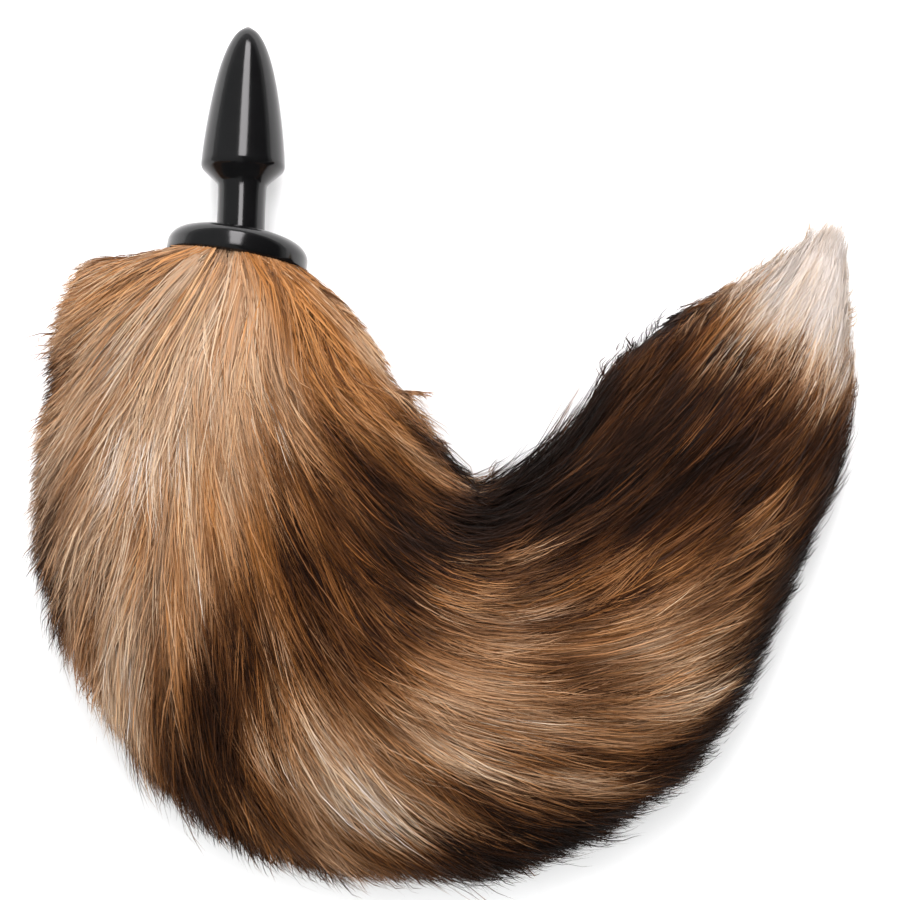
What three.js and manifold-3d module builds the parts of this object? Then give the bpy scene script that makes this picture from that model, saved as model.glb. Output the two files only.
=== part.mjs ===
// A costume tail on a plug, lying on a table. Millimetres, +Z up.
// The plug is one moulded piece: a bulb, a neck and a round flange. A hidden post joins it to the tail.
// The tail is long fur on a stuffed core. It curls in the X-Y plane with its underside flat on z = 0.
// The model is worked out about the middle of the flange's back face, and then set down with its
// origin at the bottom centre of its bounding box.
import * as THREE from 'three';
import { mergeVertices } from 'three/addons/utils/BufferGeometryUtils.js';
import Module from 'manifold-3d';

const wasm = await Module();
wasm.setup();

const { degToRad, clamp, lerp, smoothstep } = THREE.MathUtils;

// Plug
const BULB_DIAMETER = 32;
const BULB_LENGTH = 55.5; // from the tip to the widest place
const SHOULDER_LENGTH = 6.8; // from the widest place back to the neck
const NECK_DIAMETER = 18.3;
const NECK_LENGTH = 20;
const NECK_FILLET = 1.6;
const SHOULDER_ROUND = 0.3; // the shoulder's rounded corner, as a share of its step down to the neck
const FLANGE_DIAMETER = 53.6;
const FLANGE_THICKNESS = 11;
const FLANGE_FLAT_DIAMETER = 38; // the flat ring round the neck, before the edge rolls over
const FLANGE_FRONT_ROUND = 6.5; // how far back the rolled edge reaches
const FLANGE_BACK_ROUND = 2;
const STEM_LEAN = 7; // degrees between the flange's axis and the soft stem's
const PLUG_HEADING = 81.5; // degrees from +X to the flange's axis, seen from above
const PLUG_DROOP = 8; // degrees that the bulb hangs below level
const PLUG_SIDES = 40;

// Post
const POST_DIAMETER = 8;
const POST_LENGTH = 32;
const POST_DEPTH_IN_FLANGE = 6;
const POST_SIDES = 20;

const CLEARANCE = 0.3; // between pieces that touch
const WELD = 0.002; // corners closer together than this are one corner
const NEEDLE = 0.0008; // no triangle is left thinner than this
const SHORT_SIDE = 0.1;
const MOST_TURNS = 400;

// Tail
const TAIL_LENGTH = 437; // along the core, from the flange to the tip
const FUR_REACH = 100; // the longest reach of the fur to the side of the core
const FUR_HEIGHT = 78; // the tallest the fur stands above the table
const UNDERCOAT_SHARE = 0.91; // of the reach, where the dense undercoat ends and the locks stand free

// The bulb's outline from its tip, as shares of its length and of its radius
const BULB_OUTLINE = [
  { along: 0.012, radius: 0.1 },
  { along: 0.035, radius: 0.22 },
  { along: 0.07, radius: 0.325 },
  { along: 0.14, radius: 0.46 },
  { along: 0.25, radius: 0.6 },
  { along: 0.38, radius: 0.715 },
  { along: 0.53, radius: 0.815 },
  { along: 0.7, radius: 0.905 },
  { along: 0.85, radius: 0.965 },
  { along: 0.96, radius: 0.997 },
];

// The tail's cross-sections. at is a share of TAIL_LENGTH and heading the way the core points, in
// degrees from +X. outer and inner are the fur's reach to the two sides of the core, as shares of
// FUR_REACH. top is the height of the fur, and side the height where it is widest, as shares of
// FUR_HEIGHT. leanOut and leanIn are the degrees that the locks lean away from the core there.
const SECTIONS = [
  { at: 0, heading: -99, outer: 0.27, inner: 0.27, top: 0.67, side: 0.35, leanOut: 54, leanIn: 52 },
  { at: 0.05, heading: -110, outer: 0.58, inner: 0.76, top: 0.8, side: 0.3, leanOut: 48, leanIn: 49 },
  { at: 0.12, heading: -88, outer: 0.64, inner: 0.86, top: 0.92, side: 0.27, leanOut: 39, leanIn: 46 },
  { at: 0.2, heading: -69, outer: 0.8, inner: 0.9, top: 1, side: 0.26, leanOut: 30, leanIn: 43 },
  { at: 0.29, heading: -50, outer: 0.89, inner: 0.87, top: 1, side: 0.26, leanOut: 21, leanIn: 39 },
  { at: 0.375, heading: -29, outer: 0.95, inner: 0.82, top: 0.97, side: 0.26, leanOut: 17, leanIn: 30 },
  { at: 0.45, heading: -10, outer: 0.88, inner: 0.78, top: 0.94, side: 0.26, leanOut: 16, leanIn: 20 },
  { at: 0.52, heading: 12, outer: 0.78, inner: 0.77, top: 0.91, side: 0.26, leanOut: 15, leanIn: 14 },
  { at: 0.59, heading: 34, outer: 0.7, inner: 0.75, top: 0.88, side: 0.25, leanOut: 12, leanIn: 9 },
  { at: 0.665, heading: 47, outer: 0.56, inner: 0.69, top: 0.84, side: 0.24, leanOut: 9, leanIn: 14 },
  { at: 0.735, heading: 56, outer: 0.45, inner: 0.66, top: 0.78, side: 0.23, leanOut: 6, leanIn: 17 },
  { at: 0.81, heading: 62, outer: 0.39, inner: 0.64, top: 0.68, side: 0.21, leanOut: 0, leanIn: 12 },
  { at: 0.885, heading: 64, outer: 0.29, inner: 0.5, top: 0.54, side: 0.18, leanOut: -4, leanIn: 5 },
  { at: 0.945, heading: 65, outer: 0.16, inner: 0.25, top: 0.36, side: 0.13, leanOut: -5, leanIn: 2 },
  { at: 1, heading: 71, outer: 0.02, inner: 0.02, top: 0.14, side: 0.08, leanOut: -6, leanIn: 0 },
];

const ROOT_ROUND = 0.1; // share of the length over which the round root settles flat on the table
const UNDERSIDE_FLATNESS = 2.2; // how soon the underside meets the table, 1 is a half ellipse

// Undercoat mesh
const UNDERCOAT_RINGS = 36;
const UNDERCOAT_SIDES = 20;
const UNDERCOAT_TURN = 0.35; // turns the rings, in sides, so that no two corners share an upright
const UNDERCOAT_END = 0.985; // share of the tail's length at the last ring
const ROOT_SHARE = 0.94; // the undercoat's share of the reach where it leaves the flange

// Locks, in staggered rows round the tail. Shares are of the tail's length or of the fur's reach.
const LOCK_ROWS = 17;
const LOCKS_ACROSS = 8;
const LOCK_FIRST_ROW = 0.01;
const LOCK_LAST_ROW = 0.84;
const LOCK_SPAN = 0.88; // share of the reach where the outermost locks are rooted
const LOCK_LENGTH = 74;
const LOCK_WIDTH = 26;
const LOCK_THICKNESS = 8;
const LOCK_ROOT_REACH = 0.62;
const LOCK_TIP_REACH = 1.03;
const LOCK_RISE = 0.8; // how soon a lock comes out of the undercoat, 1 is evenly along its length
const LOCK_TAPER = 0.75; // how soon a lock narrows, 1 is a straight cone
const LOCK_EDGE = 1.08; // share of the reach where a lock's tip stops
const LOCK_LAST_TIP = 0.985; // share of the tail's length where a lock's tip stops
const LOCK_LOWEST = 1.4; // least height of a lock's middle above the table
const LOCK_FLOOR = 0.8; // about how far above the table the underside of a low lock stays
const LOCK_STEPS = 4;
const LOCK_SIDES = 4;
const WAY_STEPS = 14;
const SHORTEST_WAY = 2; // steps, out of WAY_STEPS, below which there is no room for a lock
const SIDE_LOCKS = 0.5; // share of the reach beyond which every other lock hangs low
const LOW_LOCK = 0.3; // how high those stand, as a share of the others
const SLIMMEST_LOCK = 0.35; // share of the full size where the tail narrows to its tip

const LEAN_GROWTH = 1.3; // how the lean grows from the core out, 1 is evenly
const TIGHTEST_BEND = 0.3; // least share of a lock's stride that the core's inner bend leaves it

// How far the locks stray from a regular pattern, in rows, places, degrees and shares
const STRAY = { row: 0.6, place: 0.3, course: 12, length: 0.3, tip: 0.08 };

// The value of one column of a table at a place along it, on a smooth curve through its rows
function columnAt(rows, name, at) {
  const last = rows.length - 1;
  const next = clamp(rows.findIndex((row) => row.at > at), 1, last);
  const i = at >= rows[last].at ? last : next;
  const slope = (j) => {
    const [a, b] = [rows[Math.max(j - 1, 0)], rows[Math.min(j + 1, last)]];
    return (b[name] - a[name]) / (b.at - a.at);
  };
  const [low, high] = [rows[i - 1], rows[i]];
  const step = high.at - low.at;
  const t = clamp((at - low.at) / step, 0, 1);
  const eased = t * t * (3 - 2 * t);
  return (
    lerp(low[name], high[name], eased) +
    step * t * (1 - t) * ((1 - t) * slope(i - 1) - t * slope(i))
  );
}

// The core's line on the table, found by walking along it with the table's headings
const CORE_STEPS = 400;
const coreLine = [new THREE.Vector2(0, 0)];
for (let i = 0; i < CORE_STEPS; i++) {
  const heading = degToRad(columnAt(SECTIONS, 'heading', (i + 0.5) / CORE_STEPS));
  const stride = TAIL_LENGTH / CORE_STEPS;
  const last = coreLine[i];
  coreLine.push(
    new THREE.Vector2(last.x + stride * Math.cos(heading), last.y + stride * Math.sin(heading)),
  );
}

function corePoint(at) {
  const place = clamp(at, 0, 1) * CORE_STEPS;
  const i = Math.min(Math.floor(place), CORE_STEPS - 1);
  return coreLine[i].clone().lerp(coreLine[i + 1], place - i);
}

const flangeRadius = FLANGE_DIAMETER / 2;
const droop = degToRad(PLUG_DROOP);
// The flange stands with its rim on the table
const flangeHeight = flangeRadius * Math.cos(droop) + (FLANGE_THICKNESS / 2) * Math.sin(droop);

// A point of the fur: at is a share of the tail's length, around an angle from the outer side over
// the top, and reach a share of the way out from the middle
function furPoint(at, around, reach) {
  const heading = degToRad(columnAt(SECTIONS, 'heading', at));
  const flat = smoothstep(at, 0, ROOT_ROUND);
  const side = lerp(flangeHeight, FUR_HEIGHT * columnAt(SECTIONS, 'side', at), flat);
  const top = FUR_HEIGHT * columnAt(SECTIONS, 'top', at);
  const width = FUR_REACH * columnAt(SECTIONS, Math.cos(around) > 0 ? 'outer' : 'inner', at);
  const rise = Math.sin(around);
  const bottom = lerp(Math.max(2 * side - top, 0), 0, flat);
  const sag = Math.min(-rise * lerp(1, UNDERSIDE_FLATNESS, flat), 1);
  const z = side + (rise > 0 ? (top - side) * rise * reach : (bottom - side) * sag);
  const across = width * Math.cos(around) * reach;
  const back = -(z - side) * Math.tan(droop) * (1 - flat); // the root leans with the flange
  const core = corePoint(at);
  return new THREE.Vector3(
    core.x + across * Math.sin(heading) + back * Math.cos(heading),
    core.y - across * Math.cos(heading) + back * Math.sin(heading),
    z,
  );
}

// A closed solid through rings of points, with a flat first end and a last end drawn to a point
function loft(rings, tip) {
  const sides = rings[0].length;
  const middle = new THREE.Vector3();
  rings[0].forEach((p) => middle.addScaledVector(p, 1 / sides));
  const points = [...rings.flat(), middle, tip];
  const [first, last] = [points.length - 2, points.length - 1];
  const faces = [];
  for (let j = 0; j < sides; j++) {
    const next = (j + 1) % sides;
    for (let i = 0; i + 1 < rings.length; i++) {
      const [a, b] = [i * sides + j, i * sides + next];
      faces.push(a, b, a + sides, b, b + sides, a + sides);
    }
    const end = (rings.length - 1) * sides;
    faces.push(first, next, j, end + j, end + next, last);
  }
  const solid = new wasm.Manifold(
    new wasm.Mesh({
      numProp: 3,
      vertProperties: new Float32Array(points.flatMap((p) => p.toArray())),
      triVerts: new Uint32Array(faces),
    }),
  );
  if (solid.volume() > 0) return solid;
  throw new Error('a loft is inside out');
}

// A three.js geometry as a solid for joining and cutting
function solidOf(geometry) {
  const bare = geometry.clone();
  bare.deleteAttribute('normal');
  bare.deleteAttribute('uv');
  const merged = mergeVertices(bare, 1e-4);
  return new wasm.Manifold(
    new wasm.Mesh({
      numProp: 3,
      vertProperties: merged.attributes.position.array,
      triVerts: new Uint32Array(merged.index.array),
    }),
  );
}

// Rids a mesh of needle-thin triangles. One with a short side is closed up to that side's end, and
// one without has its longest side turned to join the other two corners of its pair.
function clearNeedles(mesh, points) {
  let faces = mesh;
  const lengthOf = (a, b) => points[a].distanceTo(points[b]);
  const longestFirst = ([a, b, c]) =>
    [
      [a, b, c],
      [b, c, a],
      [c, a, b],
    ].reduce((best, turned) => (lengthOf(...turned) > lengthOf(...best) ? turned : best));
  const isNeedle = (face) => {
    const [a, b, c] = longestFirst(face);
    const area = new THREE.Triangle(points[a], points[b], points[c]).getArea();
    return (2 * area) / lengthOf(a, b) < NEEDLE;
  };
  const acrossFrom = (face, a, b) =>
    faces.findIndex((other) => other !== face && other.includes(a) && other.includes(b));
  for (let turns = 0; turns < MOST_TURNS; turns++) {
    const i = faces.findIndex(isNeedle);
    if (i < 0) break;
    const [a, b, c] = longestFirst(faces[i]);
    const near = lengthOf(a, c) < lengthOf(b, c) ? a : b;
    if (lengthOf(near, c) < SHORT_SIDE) {
      faces = faces
        .map((face) => face.map((corner) => (corner === c ? near : corner)))
        .filter((face) => new Set(face).size === 3);
    } else {
      const j = acrossFrom(faces[i], a, b);
      const d = faces[j].find((corner) => corner !== a && corner !== b);
      faces[i] = [a, d, c];
      faces[j] = [d, b, c];
    }
  }
  return faces;
}

function geometryOf(solid) {
  const { vertProperties, triVerts, numProp } = solid.getMesh();
  const count = vertProperties.length / numProp;
  const places = new Float32Array(count * 3);
  for (let i = 0; i < count; i++) {
    places.set(vertProperties.subarray(i * numProp, i * numProp + 3), i * 3);
  }
  const geometry = new THREE.BufferGeometry();
  geometry.setAttribute('position', new THREE.BufferAttribute(places, 3));
  geometry.setIndex(new THREE.BufferAttribute(triVerts, 1));
  const welded = mergeVertices(geometry, WELD);
  const corners = welded.attributes.position;
  const points = Array.from({ length: corners.count }, (_, i) =>
    new THREE.Vector3().fromBufferAttribute(corners, i),
  );
  const faces = [];
  for (let i = 0; i < welded.index.count; i += 3) {
    const face = [0, 1, 2].map((j) => welded.index.getX(i + j));
    if (new Set(face).size === 3) faces.push(face);
  }
  return welded.setIndex(clearNeedles(faces, points).flat());
}

// Points of a quarter of an ellipse between two angles, in degrees
function arcPoints(centreX, centreY, radiusX, radiusY, from, to, steps) {
  return Array.from({ length: steps + 1 }, (_, i) => {
    const angle = degToRad(lerp(from, to, i / steps));
    return new THREE.Vector2(
      centreX + radiusX * Math.cos(angle),
      centreY + radiusY * Math.sin(angle),
    );
  });
}

// The plug's flange, with its back face on y = 0 and its axis along +Y
function makeFlange() {
  const flat = FLANGE_FLAT_DIAMETER / 2;
  const front = FLANGE_THICKNESS;
  const back = FLANGE_BACK_ROUND;
  const rim = flangeRadius;
  return solidOf(
    new THREE.LatheGeometry(
      [
        new THREE.Vector2(0, 0),
        ...arcPoints(rim - back, back, back, back, -90, 0, 3),
        ...arcPoints(flat, front - FLANGE_FRONT_ROUND, rim - flat, FLANGE_FRONT_ROUND, 0, 90, 7),
        new THREE.Vector2(0, front),
      ],
      PLUG_SIDES,
    ),
  );
}

// The neck and bulb, from inside the flange to the tip
function makeStem() {
  const neck = NECK_DIAMETER / 2;
  const widest = BULB_DIAMETER / 2;
  const neckTop = FLANGE_THICKNESS + NECK_LENGTH;
  const shoulder = neckTop + SHOULDER_LENGTH;
  const tip = shoulder + BULB_LENGTH;
  const corner = (widest - neck) * SHOULDER_ROUND;
  const bulb = BULB_OUTLINE.map(
    (row) => new THREE.Vector2(widest * row.radius, tip - BULB_LENGTH * row.along),
  );
  const foot = FLANGE_THICKNESS;
  return solidOf(
    new THREE.LatheGeometry(
      [
        new THREE.Vector2(0, foot / 2),
        new THREE.Vector2(neck + NECK_FILLET, foot / 2),
        ...arcPoints(neck + NECK_FILLET, foot + NECK_FILLET, NECK_FILLET, NECK_FILLET, -90, -180, 3),
        new THREE.Vector2(neck, neckTop - NECK_FILLET / 2),
        new THREE.Vector2(neck + NECK_FILLET / 2, neckTop + NECK_FILLET / 2),
        new THREE.Vector2(widest - corner, shoulder - corner * 1.15),
        new THREE.Vector2(widest - corner * 0.3, shoulder - corner * 0.5),
        new THREE.Vector2(widest, shoulder + corner * 0.1),
        ...bulb.reverse(),
        new THREE.Vector2(0, tip),
      ],
      PLUG_SIDES,
    ),
  );
}

// A cylinder along Y between two places
function rod(diameter, from, to) {
  const shape = new THREE.CylinderGeometry(diameter / 2, diameter / 2, to - from, POST_SIDES);
  return solidOf(shape.translate(0, (from + to) / 2, 0));
}

function makePlug() {
  const stem = makeStem()
    .translate([0, -FLANGE_THICKNESS, 0])
    .rotate([0, 0, STEM_LEAN])
    .translate([0, FLANGE_THICKNESS, 0]);
  const socket = rod(POST_DIAMETER + 2 * CLEARANCE, -1, POST_DEPTH_IN_FLANGE + CLEARANCE);
  return makeFlange().add(stem).subtract(socket);
}

// Turns and moves what is built along the flange's axis into its place
function setOnFlange(object) {
  object.rotation.order = 'ZXY';
  object.rotation.set(-droop, 0, degToRad(PLUG_HEADING - 90));
  object.position.set(0, 0, flangeHeight);
  object.updateMatrix();
  return object;
}

// A small number between -0.5 and 0.5 that differs from lock to lock
function wobble(row, place, kind) {
  const n = Math.sin(row * 12.9898 + place * 78.233 + kind * 37.719) * 43758.5453;
  return n - Math.floor(n) - 0.5;
}

const reachAt = (at, side) => FUR_REACH * columnAt(SECTIONS, side > 0 ? 'outer' : 'inner', at);

// How sharply the core turns, in radians a millimetre
function bendAt(at) {
  const near = 4 / CORE_STEPS;
  const turn = columnAt(SECTIONS, 'heading', at + near) - columnAt(SECTIONS, 'heading', at - near);
  return degToRad(turn) / (2 * near * TAIL_LENGTH);
}

// The way of a straight lock over the curved tail: places along the core and across it. The lock
// keeps its course while the core turns under it, and stops at the fur's edge.
function lockWay(start, share, stray, length) {
  let at = start;
  let across = share * reachAt(at, share);
  const lean = columnAt(SECTIONS, share > 0 ? 'leanOut' : 'leanIn', at) * Math.abs(share) ** LEAN_GROWTH;
  const course = columnAt(SECTIONS, 'heading', at) - Math.sign(share) * lean + stray;
  const way = [{ at, across }];
  for (let i = 0; i < WAY_STEPS; i++) {
    const turn = degToRad(course - columnAt(SECTIONS, 'heading', at));
    const stretch = Math.max(1 + across * bendAt(at), TIGHTEST_BEND);
    at += ((length / WAY_STEPS) * Math.cos(turn)) / stretch / TAIL_LENGTH;
    across -= (length / WAY_STEPS) * Math.sin(turn);
    way.push({ at, across });
    if (at > LOCK_LAST_TIP || Math.abs(across / reachAt(at, across)) > LOCK_EDGE) break;
  }
  return way;
}

// The place on a lock's way at a share of its length
function placeOn(way, t) {
  const step = clamp(t, 0, 1) * (way.length - 1);
  const i = Math.min(Math.floor(step), way.length - 2);
  return {
    at: lerp(way[i].at, way[i + 1].at, step - i),
    across: lerp(way[i].across, way[i + 1].across, step - i),
  };
}

// A lock: a flat horn that leaves the undercoat and runs back over it to its point
function makeLock(row, place) {
  const rowShare = (row + STRAY.row * wobble(row, place, 1)) / (LOCK_ROWS - 1);
  const start = Math.max(lerp(LOCK_FIRST_ROW, LOCK_LAST_ROW, rowShare), 0);
  const stagger = row % 2 ? 0.75 : 0.25;
  const rank = (place + stagger + STRAY.place * wobble(row, place, 2)) / LOCKS_ACROSS;
  const share = LOCK_SPAN * Math.sin(Math.PI * (rank - 0.5));
  const length = LOCK_LENGTH * (1 + STRAY.length * wobble(row, place, 3));
  const way = lockWay(start, share, STRAY.course * wobble(row, place, 6), length);
  if (way.length <= SHORTEST_WAY) return null;
  const tipReach = LOCK_TIP_REACH + STRAY.tip * wobble(row, place, 4);
  const raised = Math.abs(share) > SIDE_LOCKS && (row + place) % 2 ? LOW_LOCK : 1;
  const wayPoint = (t, reach) => {
    const { at, across } = placeOn(way, t);
    const outward = across / reachAt(at, across);
    const upward = raised * Math.sqrt(Math.max(reach * reach - outward * outward, 0));
    const p = furPoint(at, Math.atan2(upward, outward), Math.hypot(upward, outward));
    p.z = Math.max(p.z, LOCK_LOWEST);
    return p;
  };
  const reachOf = (t) => lerp(LOCK_ROOT_REACH, tipReach, Math.max(t, 0) ** LOCK_RISE);
  const pathPoint = (t) => wayPoint(t, reachOf(t));
  const lowest = LOCK_FLOOR * (1 + wobble(row, place, 5));
  const fullReach = columnAt(SECTIONS, 'inner', 0.5);
  const size = clamp(columnAt(SECTIONS, 'inner', way.at(-1).at) / fullReach, SLIMMEST_LOCK, 1);
  const rings = [];
  for (let k = 0; k < LOCK_STEPS; k++) {
    const t = k / LOCK_STEPS;
    const middle = pathPoint(t);
    const along = pathPoint(t + 0.1).sub(pathPoint(t - 0.1)).normalize();
    const core = corePoint(placeOn(way, t).at);
    const out = new THREE.Vector3(middle.x - core.x, middle.y - core.y, middle.z);
    out.addScaledVector(along, -out.dot(along)).normalize();
    const wide = new THREE.Vector3().crossVectors(along, out);
    const taper = (1 - t) ** LOCK_TAPER;
    const halfWidth = 0.5 * LOCK_WIDTH * size * taper;
    const halfThickness = 0.5 * LOCK_THICKNESS * size * taper;
    rings.push(
      Array.from({ length: LOCK_SIDES }, (_, j) => {
        const angle = (2 * Math.PI * j) / LOCK_SIDES;
        const p = middle
          .clone()
          .addScaledVector(wide, halfWidth * Math.cos(angle))
          .addScaledVector(out, halfThickness * Math.sin(angle));
        p.z = Math.max(p.z, lowest);
        return p;
      }),
    );
  }
  return loft(rings.map((ring) => ring.reverse()), pathPoint(1));
}

function makeTail() {
  const rings = [];
  const rootGap = CLEARANCE / TAIL_LENGTH;
  for (let i = 0; i < UNDERCOAT_RINGS; i++) {
    const at = lerp(rootGap, UNDERCOAT_END, i / (UNDERCOAT_RINGS - 1));
    const share = lerp(ROOT_SHARE, UNDERCOAT_SHARE, smoothstep(at, 0, ROOT_ROUND));
    rings.push(
      Array.from({ length: UNDERCOAT_SIDES }, (_, j) => {
        const around = (2 * Math.PI * (j + UNDERCOAT_TURN)) / UNDERCOAT_SIDES;
        return furPoint(at, around, share);
      }),
    );
  }
  const tip = furPoint(1, Math.PI / 2, UNDERCOAT_SHARE);
  const pieces = [loft(rings.map((ring) => ring.reverse()), tip)];
  for (let row = 0; row < LOCK_ROWS; row++) {
    for (let place = 0; place < LOCKS_ACROSS; place++) pieces.push(makeLock(row, place));
  }
  return wasm.Manifold.union(pieces.filter(Boolean));
}

const plugFinish = new THREE.MeshStandardMaterial({ color: 0x0c0c0d, roughness: 0.18, metalness: 0 });
const postFinish = new THREE.MeshStandardMaterial({ color: 0x77787a, roughness: 0.4, metalness: 1 });
const furFinish = new THREE.MeshStandardMaterial({ color: 0x8a6440, roughness: 0.85, metalness: 0 });

const tailPlug = new THREE.Group();
const plug = new THREE.Mesh(geometryOf(makePlug()), plugFinish);
plug.name = 'plug';
tailPlug.add(setOnFlange(plug));

const postStart = POST_DEPTH_IN_FLANGE;
const post = new THREE.Mesh(geometryOf(rod(POST_DIAMETER, postStart - POST_LENGTH, postStart)), postFinish);
post.name = 'tail_post';
tailPlug.add(setOnFlange(post));

// The tail's bore for the post, and the flange's back face with a gap, are cut from the fur
function cutForPlug(tail) {
  const bore = rod(POST_DIAMETER + 2 * CLEARANCE, postStart - POST_LENGTH - CLEARANCE, 1);
  const front = new THREE.CylinderGeometry(FLANGE_DIAMETER, FLANGE_DIAMETER, FLANGE_DIAMETER, PLUG_SIDES);
  const wall = solidOf(front.translate(0, FLANGE_DIAMETER / 2 - CLEARANCE, 0));
  const place = setOnFlange(new THREE.Object3D()).matrix.toArray();
  const cutter = bore.add(wall).transform(place);
  const parts = tail.subtract(cutter).decompose();
  // Crossing locks can enclose a pocket, so only the outer skin is kept
  return parts.reduce((a, b) => (b.volume() > a.volume() ? b : a));
}

const fur = new THREE.Mesh(geometryOf(cutForPlug(makeTail())), furFinish);
fur.name = 'tail_fur';
tailPlug.add(fur);

// Set down with the origin at the bottom centre of the bounding box
const bounds = new THREE.Box3().setFromObject(tailPlug, true);
const centre = bounds.getCenter(new THREE.Vector3());
tailPlug.children.forEach((piece) => {
  piece.position.x -= centre.x;
  piece.position.y -= centre.y;
});

export default tailPlug;
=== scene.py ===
"""A costume tail of long fur on a glossy black plug, lying curled on a pale floor."""

import math
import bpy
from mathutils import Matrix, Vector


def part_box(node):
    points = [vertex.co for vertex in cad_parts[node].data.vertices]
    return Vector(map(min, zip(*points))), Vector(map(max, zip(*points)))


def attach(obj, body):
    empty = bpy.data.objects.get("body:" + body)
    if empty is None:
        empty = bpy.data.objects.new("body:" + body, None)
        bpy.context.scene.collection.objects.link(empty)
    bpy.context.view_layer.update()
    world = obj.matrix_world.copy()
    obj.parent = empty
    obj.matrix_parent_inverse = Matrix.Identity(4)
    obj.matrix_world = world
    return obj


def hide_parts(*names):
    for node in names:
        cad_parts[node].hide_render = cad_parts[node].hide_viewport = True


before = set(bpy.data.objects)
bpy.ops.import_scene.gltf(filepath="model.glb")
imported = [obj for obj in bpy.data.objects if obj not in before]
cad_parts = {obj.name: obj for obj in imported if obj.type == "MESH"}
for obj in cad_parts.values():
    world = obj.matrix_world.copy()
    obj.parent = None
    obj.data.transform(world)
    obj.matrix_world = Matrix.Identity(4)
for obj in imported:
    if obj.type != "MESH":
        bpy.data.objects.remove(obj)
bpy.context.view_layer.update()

from types import SimpleNamespace

import bmesh
import bpy
import numpy as np
from mathutils import Matrix, Vector

MM = 0.001
SEED = 11

# The plug and the tail's core, in millimetres and degrees
BULB_DIAMETER = 32.0
BULB_LENGTH = 55.5
SHOULDER_LENGTH = 6.8
NECK_DIAMETER = 18.3
NECK_LENGTH = 20.0
NECK_FILLET = 1.6
FLANGE_DIAMETER = 53.6
FLANGE_THICKNESS = 11.0
FLANGE_FLAT_DIAMETER = 38.0
FLANGE_FRONT_ROUND = 6.5
FLANGE_BACK_ROUND = 2.0
STEM_LEAN = 7.0
PLUG_HEADING = 81.5
PLUG_DROOP = 8.0
POST_LENGTH = 32.0
POST_DEPTH_IN_FLANGE = 6.0
TAIL_LENGTH = 437.0
FUR_REACH = 100.0
FUR_HEIGHT = 78.0
ROOT_ROUND = 0.1  # share of the tail's length over which its round root turns flat
UNDERSIDE_FLATNESS = 2.2
UNDERSIDE_RISE = 14.0  # from the fur's edge in to its core
ROOT_OVERLAP = 8.0  # for each tail's length that hair starts before the flange
LEAST_HALF_WIDTH = 4.0

SHOULDER_ROUND = 0.3  # share of the shoulder's height
FLANGE_SIDES = 120
STEM_SIDES = 96

BULB_OUTLINE = (
    # share of the length from the tip, share of the radius
    (0.0, 0.0),
    (0.004, 0.055),
    (0.012, 0.1),
    (0.035, 0.22),
    (0.07, 0.325),
    (0.14, 0.46),
    (0.25, 0.6),
    (0.38, 0.715),
    (0.53, 0.815),
    (0.7, 0.905),
    (0.85, 0.965),
    (0.96, 0.997),
)

FINE_STEPS = 801  # of the tail's length, between the rows of SECTIONS

# at is a share of the tail's length, heading the way the core points, outer and inner the fur's
# reach to each side, top its height and side the height where it is widest
SECTION_COLUMNS = ("at", "heading", "outer", "inner", "top", "side")
SECTIONS = (
    (0, -99, 0.27, 0.27, 0.67, 0.35),
    (0.05, -110, 0.58, 0.76, 0.8, 0.3),
    (0.12, -88, 0.64, 0.86, 0.92, 0.27),
    (0.2, -69, 0.8, 0.9, 1, 0.26),
    (0.29, -50, 0.89, 0.87, 1, 0.26),
    (0.375, -29, 0.95, 0.82, 0.97, 0.26),
    (0.45, -10, 0.88, 0.78, 0.94, 0.26),
    (0.52, 12, 0.78, 0.77, 0.91, 0.26),
    (0.59, 34, 0.7, 0.75, 0.88, 0.25),
    (0.665, 47, 0.56, 0.69, 0.84, 0.24),
    (0.735, 56, 0.45, 0.66, 0.78, 0.23),
    (0.81, 62, 0.39, 0.64, 0.68, 0.21),
    (0.885, 64, 0.29, 0.5, 0.54, 0.18),
    (0.945, 65, 0.17, 0.28, 0.36, 0.13),
    (1, 71, 0.06, 0.1, 0.14, 0.08),
)

# Hair colours as a tone, from black to white, and a warmth, from grey-brown to orange
TINTS = {
    "white": (0.97, 0.0),
    "fawn": (0.68, 0.05),
    "cream": (0.83, 0.28),
    "tan": (0.69, 0.4),
    "orange": (0.6, 1.0),
    "amber": (0.44, 0.9),
    "brown": (0.35, 0.5),
    "dark": (0.18, 0.75),
    "grey": (0.3, 0.05),
    "black": (0.06, 0.4),
}

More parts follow.
